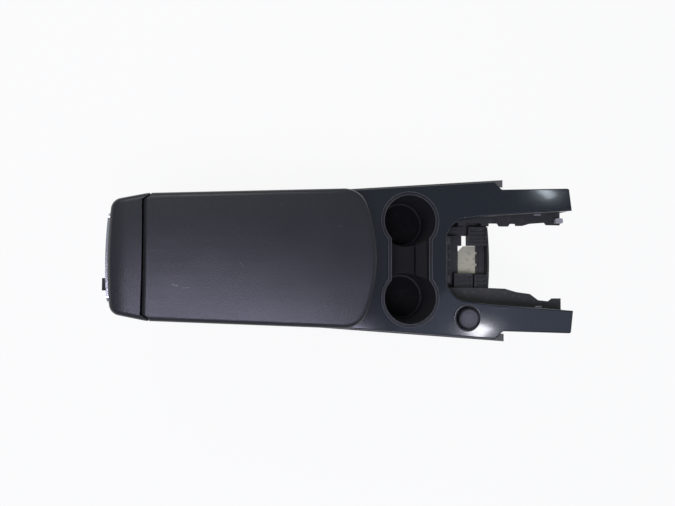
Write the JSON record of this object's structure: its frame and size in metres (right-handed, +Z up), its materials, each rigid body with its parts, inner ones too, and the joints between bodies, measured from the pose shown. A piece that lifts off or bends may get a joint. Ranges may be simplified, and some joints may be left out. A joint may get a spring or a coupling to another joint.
{
  "type": "center console",
  "caption": "Car floor console with a hinged upholstered armrest over a storage bin, cup holder, lighter, rear air vent and a gloss top trim forked around the shifter slot",
  "frame": {"origin": "centre of the bounding box's floor face: on the floor, under the middle of the console", "axes": "+X to the front of the car (the fork end), +Y to the car's left, +Z up"},
  "size_m": [0.6926, 0.2412, 0.28],
  "materials": {
    "grained_plastic": "grained, matte",
    "black_plastic": "fine grained, satin",
    "grey_plastic": "matte",
    "warm_grey_plastic": "matte, dusty",
    "gloss_trim": "high gloss",
    "soft_skin": "fine grained synthetic leather over foam",
    "rubber_mat": "matte",
    "foam_pad": "felted foam",
    "plated_steel": "zinc plated",
    "spring_steel": "bright",
    "pale_sheet": "pale grey-beige, dull",
    "bright_chrome": "plated, bright"
  },
  "bodies": {
    "console": {"console_body": "grained_plastic", "storage_bin": "black_plastic", "bin_mat": "rubber_mat", "lid_stops": "rubber_mat", "top_trim": "gloss_trim", "cup_holder": "black_plastic", "cup_mat_left": "rubber_mat", "cup_mat_right": "rubber_mat", "grip_spring_left": "spring_steel", "grip_spring_right": "spring_steel", "lighter_bezel": "black_plastic", "lighter_socket": "spring_steel", "end_cap": "soft_skin", "hinge_bracket": "plated_steel", "hinge_pin": "plated_steel", "latch_keeper": "plated_steel", "rear_panel": "grained_plastic", "vent_pod": "black_plastic", "vent_bezel": "bright_chrome", "vent_housing": "black_plastic", "air_duct": "black_plastic", "shifter_frame": "warm_grey_plastic", "inner_rail_left": "warm_grey_plastic", "inner_rail_right": "warm_grey_plastic", "rail_clips": "plated_steel", "rail_pad": "foam_pad", "sheet_plate": "pale_sheet", "bracket_screws": "plated_steel", "frame_screws": "plated_steel"},
    "lid": {"armrest_pad": "soft_skin", "lid_panel": "black_plastic", "hinge_leaf": "plated_steel", "leaf_screws": "plated_steel", "latch_spring": "spring_steel"},
    "latch": {"latch_paddle": "black_plastic"},
    "lighter": {"lighter_sleeve": "spring_steel"},
    "lighter_button": {"lighter_knob": "black_plastic"},
    "grip_left": {"cup_grip_left": "grey_plastic"},
    "grip_right": {"cup_grip_right": "grey_plastic"},
    "vane_left": {"vent_vane_left_middle": "black_plastic"},
    "vane_left_upper": {"vent_vane_left_upper": "black_plastic"},
    "vane_left_lower": {"vent_vane_left_lower": "black_plastic"},
    "link_left": {"vent_link_left": "black_plastic"},
    "vane_right": {"vent_vane_right_middle": "black_plastic"},
    "vane_right_upper": {"vent_vane_right_upper": "black_plastic"},
    "vane_right_lower": {"vent_vane_right_lower": "black_plastic"},
    "link_right": {"vent_link_right": "black_plastic"}
  },
  "joints": [
    {"name": "lid_hinge", "type": "hinge", "parent": "console", "child": "lid", "pos_m": [-0.2517, 0, 0.264], "axis": [0, -1, 0], "range_deg": [0, 85]},
    {"name": "latch_lift", "type": "hinge", "parent": "lid", "child": "latch", "pos_m": [0.0203, 0, 0.258], "axis": [0, -1, 0], "range_deg": [0, 8], "stiffness_Nm_per_rad": 0.4, "springref_deg": -5.73, "deforming": ["latch_spring"]},
    {"name": "lighter_pull", "type": "slide", "parent": "console", "child": "lighter", "axis": [0, -0.0568, 0.9984], "range_m": [0, 0.045]},
    {"name": "lighter_press", "type": "slide", "parent": "lighter", "child": "lighter_button", "axis": [0, -0.0568, 0.9984], "range_m": [-0.006, 0], "stiffness_N_per_m": 400, "springref_m": 0.002},
    {"name": "grip_left_push", "type": "hinge", "parent": "console", "child": "grip_left", "pos_m": [0.0571, 0.0563, 0.224], "axis": [0, 1, 0], "range_deg": [0, 12], "stiffness_Nm_per_rad": 0.1, "springref_deg": -8.59, "deforming": ["grip_spring_left"]},
    {"name": "grip_right_push", "type": "hinge", "parent": "console", "child": "grip_right", "pos_m": [0.0571, -0.0563, 0.224], "axis": [0, 1, 0], "range_deg": [0, 12], "stiffness_Nm_per_rad": 0.1, "springref_deg": -8.59, "deforming": ["grip_spring_right"]},
    {"name": "vane_left_tilt", "type": "hinge", "parent": "console", "child": "vane_left", "pos_m": [-0.3042, 0.029, 0.1965], "axis": [0, 1, 0], "range_deg": [-20, 20]},
    {"name": "vane_left_upper_tilt", "type": "hinge", "parent": "console", "child": "vane_left_upper", "pos_m": [-0.3042, 0.029, 0.209], "axis": [0, 1, 0], "range_deg": [-20, 20]},
    {"name": "vane_left_lower_tilt", "type": "hinge", "parent": "console", "child": "vane_left_lower", "pos_m": [-0.3042, 0.029, 0.184], "axis": [0, 1, 0], "range_deg": [-20, 20]},
    {"name": "link_left_turn", "type": "hinge", "parent": "vane_left", "child": "link_left", "pos_m": [-0.2982, 0.0505, 0.1965], "axis": [0, 1, 0], "range_deg": [-20, 20]},
    {"name": "vane_right_tilt", "type": "hinge", "parent": "console", "child": "vane_right", "pos_m": [-0.3042, -0.029, 0.1965], "axis": [0, 1, 0], "range_deg": [-20, 20]},
    {"name": "vane_right_upper_tilt", "type": "hinge", "parent": "console", "child": "vane_right_upper", "pos_m": [-0.3042, -0.029, 0.209], "axis": [0, 1, 0], "range_deg": [-20, 20]},
    {"name": "vane_right_lower_tilt", "type": "hinge", "parent": "console", "child": "vane_right_lower", "pos_m": [-0.3042, -0.029, 0.184], "axis": [0, 1, 0], "range_deg": [-20, 20]},
    {"name": "link_right_turn", "type": "hinge", "parent": "vane_right", "child": "link_right", "pos_m": [-0.2982, -0.0505, 0.1965], "axis": [0, 1, 0], "range_deg": [-20, 20]}
  ],
  "couplings": [
    {"joint": "vane_left_upper_tilt", "follows": "vane_left_tilt", "ratio": 1},
    {"joint": "vane_left_lower_tilt", "follows": "vane_left_tilt", "ratio": 1},
    {"joint": "link_left_turn", "follows": "vane_left_tilt", "ratio": -1},
    {"joint": "vane_right_upper_tilt", "follows": "vane_right_tilt", "ratio": 1},
    {"joint": "vane_right_lower_tilt", "follows": "vane_right_tilt", "ratio": 1},
    {"joint": "link_right_turn", "follows": "vane_right_tilt", "ratio": -1}
  ]
}
